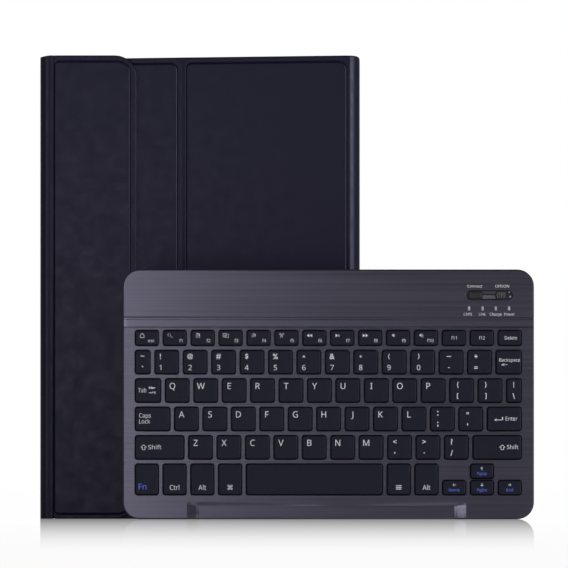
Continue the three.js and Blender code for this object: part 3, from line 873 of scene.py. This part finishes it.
def build_top_frame():
    builder = Builder()
    front = rounded(0.9, DECK_FRONT, steps=5)
    behind = [(0, FRAME_BACK), (-WALL, FRAME_BACK), (-WALL, DECK_BACK)]
    outer = builder.rings(SHELL_OUTLINE, front + behind, 10)
    flare = [(0.18, DECK_FRONT), (0.05, DECK_FRONT + 0.05), (0, DECK_FRONT + 0.2), (0, DECK_BACK)]
    holes = [Box(*spot, 1.7) for spots in OPENINGS.values() for spot in spots]
    holes.append(SWITCH_SLOT)
    holes += [Box(x - 0.8, LAMP_Z - 1.45, x + 0.8, LAMP_Z + 1.45, 0.78) for x in LAMP_X]
    made = [builder.rings(hole, flare, 5) for hole in holes]
    builder.fill(outer[0], [rings[0] for rings in made])
    builder.fill(outer[-1], [rings[-1] for rings in made])
    left, right = SCOOP_ENDS
    ends = spaced(left, left + SCOOP_SLOPE, 5) + spaced(right - SCOOP_SLOPE, right, 5)
    builder.cut_across(ends, axis=0)
    fading = spaced(SCOOP_TOP - SCOOP_FADE, SCOOP_TOP, 6)
    builder.cut_across([z for z, _ in BAND] + fading, axis=2)

    def move(x, y, z):
        hold = min(1.0, max(0.0, (FRAME_BACK - y) / (FRAME_BACK - DECK_BACK)))
        share = 0.3 if abs(y - DECK_BACK) < 0.01 else (FRAME_BACK - y) / (FRAME_BACK - DECK_FRONT)
        sink = scoop(x, z) * share
        return Vector((x, y - hold * on_line(BAND, z) + sink, z))

    builder.shape(move)
    piece = builder.finish("keyboard_frame_plate", KEYBOARD_PLACE, smooth=30)
    carve(piece, port_body(0.15, 0.95, KEY_HEIGHT - 3, KEY_HEIGHT + 1))
    place(piece, "keyboard", FRAME_METAL, "brushed_frame", ["keyboard_top_frame"])
    blacken_rim(piece)


def build_bottom_cover():
    builder = Builder()
    back = list(reversed(rounded(1.3, COVER_BACK, toward=-1, steps=5)))
    outer = builder.rings(SHELL_OUTLINE, [(-0.15, COVER_FRONT), (0, COVER_FRONT + 0.15), *back], 10)
    inner = builder.rings(SHELL_OUTLINE, [(-WALL, COVER_FRONT), (-WALL, COVER_BACK - 1)], 10)
    builder.fill(outer[0], [inner[0]])
    builder.fill(inner[-1])
    builder.fill(outer[-1])
    replaced = ["keyboard_bottom_cover"]
    name = "keyboard_back_cover"
    builder.piece(name, KEYBOARD_PLACE, "keyboard", SHELL, "keyboard_shell", replaced)


def build_feet():
    for node in ("foot_lower_left", "foot_lower_right", "foot_upper_left", "foot_upper_right"):
        low, high = box_mm(node)
        disc = Box(low[0], low[2], high[0], high[2], (high[0] - low[0]) / 2 - 0.01)
        rim = reversed(rounded(0.3, high[1], toward=-1))
        builder = capsule(disc, [(0, low[1]), *rim, (-1.5, high[1] - 0.1)], 10)
        builder.piece(node + "_pad", (0, 0, 0), "keyboard", RUBBER, "rubber", [node])


def centred(x, z, width, height, radii):
    return Box(x - width / 2, z - height / 2, x + width / 2, z + height / 2, radii)


BUTTON_HEIGHT = 4.2
RIBS_REACH = 2.1  # the knob's ribs lie within this distance of its middle
RIB_PITCH = 1.05
RIB_DEPTH = 0.3


def stemmed(head, profile, stem, neck, back):
    """A button's head, and a narrower stem behind it from neck to back."""
    builder = Builder()
    made = builder.rings(head, [*profile, (0, neck)])
    shaft = builder.rings(stem, [(0, neck), (0, back)])
    builder.fill(made[0])
    builder.fill(made[-1], [shaft[0]])
    builder.fill(shaft[-1])
    return builder


def build_switches():
    """The switch well, the connect button in it, and the power switch's ribbed knob."""
    def finish(builder, name, body, node):
        builder.piece(name, KEYBOARD_PLACE, body, SWITCH, "switch_plastic", [node])

    outline, front, back = placed_outline("switch_well", 4.4)
    well = capsule(outline, [(0, back), (0, front), (-1.9, front), (-2.1, front + 0.15)])
    finish(well, "switch_recess", "keyboard", "switch_well")

    _, front, back = placed_outline("connect_button", 0)
    head = centred(CONNECT_X, SWITCH_Z, 7.5, BUTTON_HEIGHT, 1.5)
    stem = centred(CONNECT_X, SWITCH_Z, 4.4, 2.4, 0.6)
    dished = [(-1.2, front + 0.02), (-0.8, front), *rounded(0.35, front + 0.1)]
    button = stemmed(head, dished, stem, front + 0.5, back)
    finish(button, "connect_button_cap", "connect_button", "connect_button")

    _, front, back = placed_outline("power_switch_knob", 0)
    head = centred(KNOB_X, SWITCH_Z, 6, BUTTON_HEIGHT, 1.5)
    stem = centred(KNOB_X, SWITCH_Z, 3, 2, 0.5)
    knob = stemmed(head, rounded(0.3, front), stem, front + 1.1, back)
    knob.cut_across(spaced(KNOB_X - RIBS_REACH, KNOB_X + RIBS_REACH, 29), axis=0)

    def ribbed(x, y, z):
        if y < front + 0.2:
            y += RIB_DEPTH * abs(math.sin((x - KNOB_X) * math.pi / RIB_PITCH))
        return Vector((x, y, z))

    knob.shape(ribbed)
    finish(knob, "power_switch_slider", "power_switch_knob", "power_switch_knob")


def build_switch_channel():
    """The pale ledge between the button and the knob, and the two marks at the slot's right end."""
    _, _, floor = placed_outline("switch_well", 0)

    def finish(builder, name, material):
        builder.piece(name, KEYBOARD_PLACE, "keyboard", material, "switch_plastic")

    left, right = 215.1, 222.9
    ledge_sides = [(0, floor), *reversed(rounded(0.3, floor - 1.2))]
    for end, low, high, material in (("lower", 131.75, 133.95, WELL), ("upper", 134.75, 136.3, LEDGE)):
        ledge = capsule(Box(left, low, right, high, 0.15), ledge_sides)
        finish(ledge, "switch_ledge_" + end, material)
    mark_sides = [(0, floor), (0, floor - 0.4), (-0.15, floor - 0.55)]
    for end, x, z, size in (("lower", 231.9, 132.95, 1.4), ("upper", 231.2, 135.75, 1.0)):
        mark = capsule(centred(x, z, size, size, size / 2 - 0.02), mark_sides)
        finish(mark, "switch_mark_" + end, LAMP)


def build_lamps():
    """Four lamp tips that stand on one bar of clear plastic."""
    bar, front, back = placed_outline("lamp_light_guide", 0.6)
    bar_front = back - 0.5
    builder = Builder()
    made = builder.rings(bar, [(0, back), (0, bar_front)])
    builder.fill(made[0])
    pills = []
    for x in LAMP_X:
        tip = centred(x, LAMP_Z, 1.4, 2.7, 0.69)
        sides = [(0, bar_front), (0, front + 0.3), *reversed(rounded(0.25, front))]
        rings = builder.rings(tip, sides)
        builder.fill(rings[-1])
        pills.append(rings[0])
    builder.fill(made[-1], pills)
    replaced = ["lamp_light_guide"]
    builder.piece("lamp_lenses", KEYBOARD_PLACE, "keyboard", LAMP, "light_guide", replaced)


# ---------------------------------------------------------------- keycaps

CAP_EDGE = 0.4  # radius of a cap's upper edge
CAP_TAPER = 0.34  # how much further in its top is than its foot
CAP_BACK = 3.0
DISH_DEPTH = 0.16
DISH_RIM = 3.0  # distance in from the top's edge at which the dish is level


def dish(inset):
    """How far a cap's top has sunk at this distance in from its rim."""
    return DISH_DEPTH * eased(inset / DISH_RIM)


def build_cap(name, body, spot):
    outline = Box(*spot, 1.9).grown(-KEY_PLAY)
    rim = -CAP_TAPER - CAP_EDGE
    edge = reversed(rounded(CAP_EDGE, 0, inset=CAP_TAPER, steps=5))
    side = [(0, CAP_BACK), (-0.03, DECK_FRONT), *edge]
    top = [(rim - inset, dish(inset)) for inset in (0.6, 1.2, 1.8, 2.4, DISH_RIM)]
    cap = capsule(outline, side + top)
    cap.piece(name, KEYBOARD_PLACE, body, KEYCAP, "keycap", [body], smooth=40)


def build_carrier(body, spots):
    """The thin strip behind the deck that joins one row's caps."""
    left, low, _, high = spots[0]
    strip = Box(left + 1, low + 1, spots[-1][2] - 1, high - 1, 1)
    carrier = capsule(strip, [(0, CAP_BACK), (0, CAP_BACK + 0.2)])
    carrier.piece(body + "_carrier", KEYBOARD_PLACE, body, SWITCH, "keycap", [body])


def build_keycaps():
    for body, spots in OPENINGS.items():
        if len(spots) == 1:
            build_cap(body + "_cap", body, spots[0])
            continue
        for number, spot in enumerate(spots, 1):
            build_cap(f"{body}_cap_{number:02d}", body, spot)
        build_carrier(body, spots)


# ---------------------------------------------------------------- printed legends

CAPITAL = 0.714  # height of a capital letter in the built-in font's plain sans, at size 1
LEGEND_PROUD = 0.015
LEGEND_DEPTH = 0.05
SANS_FIRST = {ascii_uppercase: 0x1D5A0, ascii_lowercase: 0x1D5BA, digits: 0x1D7E2}
SANS = {
    ord(sign): first + i
    for alphabet, first in SANS_FIRST.items() for i, sign in enumerate(alphabet)
}


class Print:
    """Letters and symbols printed on one body in one ink, gathered into one mesh."""

    def __init__(self, surface):
        self.mesh = bmesh.new()
        self.surface = surface

    def add(self, text, x, z, height, align="left", wide=1.0, symbol=False, bold=0.0):
        """Prints text with its left end, middle or right end at x, and its baseline at z.

        A symbol is centred on x and z instead, and height is its whole height.
        """
        curve = bpy.data.curves.new("type", "FONT")
        curve.body = text if symbol else text.translate(SANS)
        curve.resolution_u = 3
        curve.offset = bold
        curve.extrude = 0.5
        holder = bpy.data.objects.new("type", curve)
        bpy.context.collection.objects.link(holder)
        shaped = holder.evaluated_get(bpy.context.evaluated_depsgraph_get())
        data = bpy.data.meshes.new_from_object(shaped)
        xs = [v.co.x for v in data.vertices]
        ys = [v.co.y for v in data.vertices]
        scale = height / ((max(ys) - min(ys)) if symbol else CAPITAL)
        left = {"left": min(xs), "middle": (min(xs) + max(xs)) / 2, "right": max(xs)}
        start = left["middle" if symbol else align]
        base = (min(ys) + max(ys)) / 2 if symbol else 0
        for v in data.vertices:
            px = x + (v.co.x - start) * scale * wide
            pz = z + (v.co.y - base) * scale
            face = self.surface(px, pz)
            v.co = (px, face - LEGEND_PROUD + (0.5 - v.co.z) * LEGEND_DEPTH, pz)
        self.mesh.from_mesh(data)
        bpy.data.objects.remove(holder)
        bpy.data.meshes.remove(data)

    def symbol(self, text, x, z, height, wide=1.0, bold=0.0):
        self.add(text, x, z, height, symbol=True, wide=wide, bold=bold)

    def finish(self, name, body, material, slot):
        if not self.mesh.verts:
            self.mesh.free()
            return
        builder = Builder()
        builder.mesh.free()
        builder.mesh = self.mesh
        builder.piece(name, KEYBOARD_PLACE, body, material, slot, smooth=20)


def cap_surface(spots):
    """The y of the cap tops of one body, at any place on them."""
    rim = KEY_PLAY + CAP_TAPER + CAP_EDGE

    def surface(x, z):
        left, low, right, high = min(spots, key=lambda s: abs((s[0] + s[2]) / 2 - x))
        return dish(max(0.0, min(x - left, right - x, z - low, high - z) - rim))

    return surface


def label_function_row(white, spots):
    symbols = ["⌂", "🔍", "📄", "⎘", "📋", "✂", "◀◀", "▶II", "▶▶", "◀)", "◀))"]
    heights = [2.7, 2.6, 2.7, 2.7, 2.7, 2.8, 2.1, 2.1, 2.1, 2.3, 2.3]
    names = ["esc", *(f"f{n}" for n in range(1, 11))]
    for spot, sign, height, name in zip(spots, symbols, heights, names):
        left, low, right, high = spot
        white.symbol(sign, left + 4.4, high - 3.4, height, wide=0.8 if len(sign) > 1 else 1.1)
        white.add(name, right - 2.7, low + 2.3, 1.9, "right")
    for spot, name in zip(spots[11:], ("f11", "f12", "Delete")):
        left, low, right, high = spot
        nudge = 0.8 if name == "Delete" else 0.1
        white.add(name, (left + right) / 2 + nudge, low + 3.9, 1.95, "middle", wide=0.93)


def label_number_row(white, spots):
    pairs = ["~`", "!1", "@2", "#3", "$4", "%5", "^6", "&7", "*8", "(9", ")0", "_-", "+="]
    places = [4.6, 3.6, 4.4, 4.4, 4.2, 4.4, 4.4, 4.3, 4.4, 4.3, 5.0, 6.1, 5.3]
    stack(white, spots, pairs, places)


SIGN_HEIGHTS = {
    "~": 0.8, "`": 0.9, "^": 1.5, "*": 1.6, '"': 1.3, "'": 1.4, ".": 0.75, ",": 1.2, "_": 0.4,
    "-": 0.45, "+": 2.1, "=": 1.4, ":": 3.0, ";": 3.3, "<": 2.2, ">": 2.2,
}
SIGN_RAISED = {"~": 0.2, "`": 0.6}
DIGIT_HEIGHT = 3.1


def stack(white, spots, pairs, places):
    """Two signs, one above the other, on each cap."""
    for (left, low, _, high), (upper, lower), across in zip(spots, pairs, places):
        x = left + across
        for sign, middle in ((upper, high - 4.0), (lower, low + 4.1)):
            if sign.isdigit():
                white.add(sign, x, middle - 1.5, DIGIT_HEIGHT, "middle")
            elif sign in SIGN_HEIGHTS:
                raised = middle + SIGN_RAISED.get(sign, 0)
                white.symbol(sign, x, raised, SIGN_HEIGHTS[sign], bold=0.015)
            else:
                white.symbol(sign, x, middle, 3.4, bold=0.012)


def label_letters(white, spots, letters):
    for (left, _, _, high), letter in zip(spots, letters):
        white.add(letter, left + 4.5, high - 6.5, 3.65, "middle")


# Words and symbols on the wide keys: x from the cap's left, or back from its right if negative;
# z from its lower edge, or down from its upper edge if negative; height, width and boldness.
WIDE_KEYS = (
    ("key_tab", "Tab", 2.1, 6.3, 2.5, 0.82, 0),
    ("key_tab", "⇤", 10.4, -5.7, 1.7, 1.25, 0.01),
    ("key_tab", "⇥", 10.4, -8.7, 1.7, 1.25, 0.01),
    ("key_caps_lock", "Caps", 2.6, -6.6, 2.5, 0.92, 0),
    ("key_caps_lock", "Lock", 2.6, -10.1, 2.5, 0.92, 0),
    ("key_shift_left", "⇧", 5.3, 7.5, 3.3, 1.1, 0),
    ("key_shift_left", "Shift", 8.0, 6.3, 2.5, 1.1, 0),
    ("key_shift_right", "⇧", -11.6, 7.5, 3.2, 1.15, 0),
    ("key_shift_right", "Shift", -2.1, 6.4, 2.4, 0.98, 0),
    ("key_enter", "Enter", -2.6, 6.4, 2.4, 0.88, 0),
    ("key_enter", "↵", -13.8, 7.2, 2.8, 1.5, 0.01),
    ("key_backspace", "←", 5.3, -8.9, 1.3, 2.6, 0.02),
)


def label_words(white, blue):
    """The words and symbols on the keys with bodies of their own."""
    for body, text, across, up, height, wide, bold in WIDE_KEYS:
        left, low, right, high = OPENINGS[body][0]
        x = (left if across > 0 else right) + across
        z = (low if up > 0 else high) + up
        if text.isascii():
            white(body).add(text, x, z, height, "left" if across > 0 else "right", wide=wide)
        else:
            white(body).symbol(text, x, z, height, wide=wide, bold=bold)

    left, _, right, high = OPENINGS["key_backspace"][0]
    middle = (left + right) / 2 + 0.6
    white("key_backspace").add("Backspace", middle, high - 7.1, 1.95, "middle", wide=0.95)

    left, low, _, _ = OPENINGS["key_fn"][0]
    blue("key_fn").add("Fn", left + 2.3, low + 3.5, 3.5)
    for body, word in (("key_ctrl", "Ctrl"), ("key_alt_left", "Alt"), ("key_alt_right", "Alt")):
        left, low, right, _ = OPENINGS[body][0]
        white(body).add(word, (left + right) / 2, low + 3.3, 2.9, "middle", wide=0.92)
    for body, sign, height in (("key_system", "⌘", 3.0), ("key_menu", "☰", 2.5)):
        left, low, right, _ = OPENINGS[body][0]
        white(body).symbol(sign, (left + right) / 2, low + 4.8, height)

    arrows = (("key_arrow_left", "←", "Home"), ("key_arrow_up", "↑", "PgUp"),
              ("key_arrow_down", "↓", "PgDn"), ("key_arrow_right", "→", "End"))
    for body, sign, word in arrows:
        left, low, right, high = OPENINGS[body][0]
        middle = (left + right) / 2
        height = 1.6 if sign in "←→" else 2.0
        white(body).symbol(sign, middle, high - 3.0, height, bold=0.02)
        blue(body).add(word, middle, low + 2.4, 1.7, "middle")


def print_legends():
    prints = {}

    def pad(ink):
        def get(body):
            if (body, ink) not in prints:
                prints[body, ink] = Print(cap_surface(OPENINGS[body]))
            return prints[body, ink]
        return get

    white = pad("white")
    blue = pad("blue")
    label_function_row(white("keys_function_row"), OPENINGS["keys_function_row"])
    label_number_row(white("keys_number_row"), OPENINGS["keys_number_row"])
    for row, letters, pairs, places in (
        ("keys_upper_row", "QWERTYUIOP", ["{[", "}]", "|\\"], [5.1, 4.9, 4.6]),
        ("keys_home_row", "ASDFGHJKL", [":;", "\"'"], [4.7, 5.5]),
        ("keys_lower_row", "ZXCVBNM", ["<,", ">.", "?/"], [4.6, 5.1, 4.6]),
    ):
        label_letters(white(row), OPENINGS[row], letters)
        stack(white(row), OPENINGS[row][len(letters):], pairs, places)
    label_words(white, blue)
    inks = {"white": WHITE_INK, "blue": BLUE_INK}
    for (body, ink), made in prints.items():
        made.finish(f"{body}_legend_{ink}", body, inks[ink], "keycap")


def print_frame_labels():
    labels = Print(lambda x, z: DECK_FRONT - on_line(BAND, z))
    for word, x in (("Connect", 210.6), ("OFF/ON", 227.0)):
        labels.add(word, x, 138.5, 1.65, "middle", wide=1.02)
    for word, x in (("CAPS", 206.4), ("Link", 215.1), ("Charge", 223.1), ("Power", 231.4)):
        labels.add(word, x, 121.75, 1.6, "middle", wide=0.97)
    labels.finish("keyboard_frame_labels", "keyboard", WHITE_INK, "brushed_frame")


def build_homing_bars():
    """The small raised bars on F and J."""
    for number, letter in ((4, "f"), (7, "j")):
        left, low, right, _ = OPENINGS["keys_home_row"][number - 1]
        outline = centred((left + right) / 2, low + 2.9, 3.2, 0.5, 0.24)
        bar = capsule(outline, [(0, DISH_DEPTH), (0, 0.02), (-0.1, -0.08)])
        bar.piece(f"homing_bar_{letter}", KEYBOARD_PLACE, "keys_home_row", KEYCAP, "keycap")


# ---------------------------------------------------------------- CAD nodes that keep their shape

KEPT = [
    (FIBRE, ("spine_core",)),
    (SUEDE, ("flap_lining", "base_panel_lining", "front_panel_lining", "rear_cover_lining",
             "spine_lining")),
    (MAGNET, ("flap_magnet_bar", "keyboard_magnet_bar", "closure_magnet")),
    (STEEL, ("flap_keeper_plate", "keyboard_steel_strip", "key_support_plate")),
    (RUBBER, ("dome_sheet",)),
    (MEMBRANE, ("membrane_sheet",)),
    (CIRCUIT, ("controller_board",)),
    (FOIL, ("battery_cell",)),
    (WIRE, ("battery_lead",)),
]


def finish_kept_nodes():
    for material, names in KEPT:
        for name in names:
            for seat in frame["nodes"][name].material_slots:
                seat.material = material


# ---------------------------------------------------------------- build it all

def build_grooves():
    """The leather of the grooves at the folio's left edge."""
    def dipped(x0, y0, x1, y1, depth):
        return [
            (x0 + (x1 - x0) * t, y0 + (y1 - y0) * t + depth * math.sin(math.pi * t))
            for t in spaced(0, 1, 9)
        ]

    back = REAR_HIGH[1] - FOLIO_Y
    base = BASE_LOW[1] - FOLIO_Y
    spine_x = GROOVE_X - 1.1
    flap_line = dipped(spine_x, 0.75, GROOVE_X + 0.6, 0.8, 0.3)
    base_line = dipped(GROOVE_X + 0.9, base + 0.8, spine_x, 1.3, 0.2)
    rear_line = dipped(spine_x, back - 1.2, GROOVE_X + 0.8, back - 1.4, -0.3)
    build_groove("flap_groove", flap_line)
    build_groove("base_groove", base_line)
    build_groove("rear_groove", rear_line)


build_flap()
build_front_cover()
build_rear_cover()
build_spine()
build_grooves()
build_tray()
build_top_frame()
build_bottom_cover()
build_feet()
build_port()
build_switches()
build_switch_channel()
build_lamps()
build_keycaps()
build_homing_bars()
print_legends()
print_frame_labels()
finish_kept_nodes()

# ---------------------------------------------------------------- camera, floor and lights

CAMERA_DISTANCE = 10.0  # metres in front of the key tops
FOCAL_LENGTH = 1060  # millimetres
SENSOR_WIDTH = 36
VIEW_X = -0.00097
VIEW_Z = 0.1406
EYE_HEIGHT = 0.020
MIRROR_DEPTH = 0.0215  # the mirror has faded out this far below the floor's level
MIRROR_SHARE = 0.78
MIRROR_FALL = 2.1
FLOOR_GLOW = 0.96  # how much of the floor's paleness the camera sees as plain white
FLOOR_HALF = 60.0


def add_object(name, data, location=(0, 0, 0), target=None):
    """Adds a camera, lamp or mesh to the scene, turned towards its target if it has one."""
    thing = bpy.data.objects.new(name, data)
    bpy.context.scene.collection.objects.link(thing)
    thing.location = location
    if target:
        direction = Vector(target) - thing.location
        thing.rotation_euler = direction.to_track_quat("-Z", "Y").to_euler()
    return thing


def set_camera():
    data = bpy.data.cameras.new("camera")
    data.sensor_width = SENSOR_WIDTH
    data.lens = FOCAL_LENGTH
    data.clip_start = 0.1
    data.clip_end = 200
    front = KEY_Y * MM
    place_of_eye = (VIEW_X, front - CAMERA_DISTANCE, EYE_HEIGHT)
    target = (VIEW_X, front, VIEW_Z)
    bpy.context.scene.camera = add_object("camera", data, place_of_eye, target)


def add_light(name, location, target, size, watts):
    data = bpy.data.lights.new(name, "AREA")
    data.shape = "RECTANGLE"
    data.size, data.size_y = size
    data.energy = watts
    add_object(name, data, location, target)


def set_world():
    """Dim light from all round; the camera and the floor's mirror see plain white."""
    world = bpy.data.worlds.new("studio")
    nodes = Tree(world)
    nodes.tree.nodes.clear()
    generated = nodes.node("ShaderNodeTexCoord").outputs["Generated"]
    along_y = nodes.node("ShaderNodeSeparateXYZ", {0: generated}).outputs["Y"]
    dim = nodes.ranged(along_y, (-0.2, 0.8), (0.06, 0.3))
    ray = nodes.node("ShaderNodeLightPath").outputs
    seen = nodes.math("MAXIMUM", ray["Is Camera Ray"], ray["Is Singular Ray"])
    strength = nodes.node("ShaderNodeMix", {"Factor": seen, "A": dim, "B": 1.0}).outputs["Result"]
    inputs = {"Color": (1, 1, 1, 1), "Strength": strength}
    background = nodes.node("ShaderNodeBackground", inputs).outputs[0]
    nodes.node("ShaderNodeOutputWorld", {0: background})
    bpy.context.scene.world = world


def floor_material():
    """Pale floor with a mirror that fades, by the floor's own Y, to suit the main view.

    The fade is fixed to the floor. It is worked out from where the main camera stands, so the
    reflection has a different length in other views.
    """
    material = bpy.data.materials.new("floor")
    nodes = Tree(material)
    nodes.tree.nodes.clear()
    own = nodes.node("ShaderNodeTexCoord").outputs["Object"]
    along_y = nodes.node("ShaderNodeSeparateXYZ", {0: own}).outputs["Y"]
    camera_ray = nodes.node("ShaderNodeLightPath").outputs["Is Camera Ray"]

    distance = nodes.math("SUBTRACT", along_y, KEY_Y * MM - CAMERA_DISTANCE)
    nearness = nodes.math("DIVIDE", CAMERA_DISTANCE, distance)
    fade = nodes.ranged(nearness, (1.0, 1.0 + MIRROR_DEPTH / EYE_HEIGHT), (1.0, 0.0))
    share = nodes.math("MULTIPLY", nodes.math("POWER", fade, MIRROR_FALL), MIRROR_SHARE)
    seen = nodes.math("MULTIPLY", share, camera_ray)
    grazing = nodes.node("ShaderNodeFresnel", {"IOR": 1.25}).outputs[0]
    mirrored = nodes.math("MULTIPLY", seen, grazing)

    glowing = nodes.math("MULTIPLY", camera_ray, FLOOR_GLOW)
    matt = nodes.node("ShaderNodeBsdfDiffuse", {"Color": (0.9, 0.9, 0.9, 1)}).outputs[0]
    glow = nodes.node("ShaderNodeEmission").outputs[0]
    pale = nodes.node("ShaderNodeMixShader", {0: glowing, 1: matt, 2: glow}).outputs[0]
    white = {"Color": (1, 1, 1, 1), "Roughness": 0.0}
    mirror = nodes.node("ShaderNodeBsdfGlossy", white).outputs[0]
    both = nodes.node("ShaderNodeMixShader", {0: mirrored, 1: pale, 2: mirror}).outputs[0]
    nodes.node("ShaderNodeOutputMaterial", {0: both})
    return material


def lay_floor():
    data = bpy.data.meshes.new("floor")
    half = FLOOR_HALF
    corners = [(-half, -half, 0), (half, -half, 0), (half, half, 0), (-half, half, 0)]
    data.from_pydata(corners, [], [(0, 1, 2, 3)])
    data.materials.append(floor_material())
    add_object("floor", data)


set_camera()
set_world()
lay_floor()
MIDDLE = (0.0, 0.0, 0.14)
TALL = (0.4, 0.8)
add_light("front_softbox", (-0.25, -1.30, 0.10), (-0.05, -0.07, 0.07), (0.18, 0.34), 1.85)
add_light("side_softbox", (1.2, -0.75, 0.45), MIDDLE, TALL, 12.5)
add_light("left_softbox", (-1.4, -0.95, 0.5), MIDDLE, TALL, 3.8)
bpy.context.scene.view_settings.view_transform = "Standard"
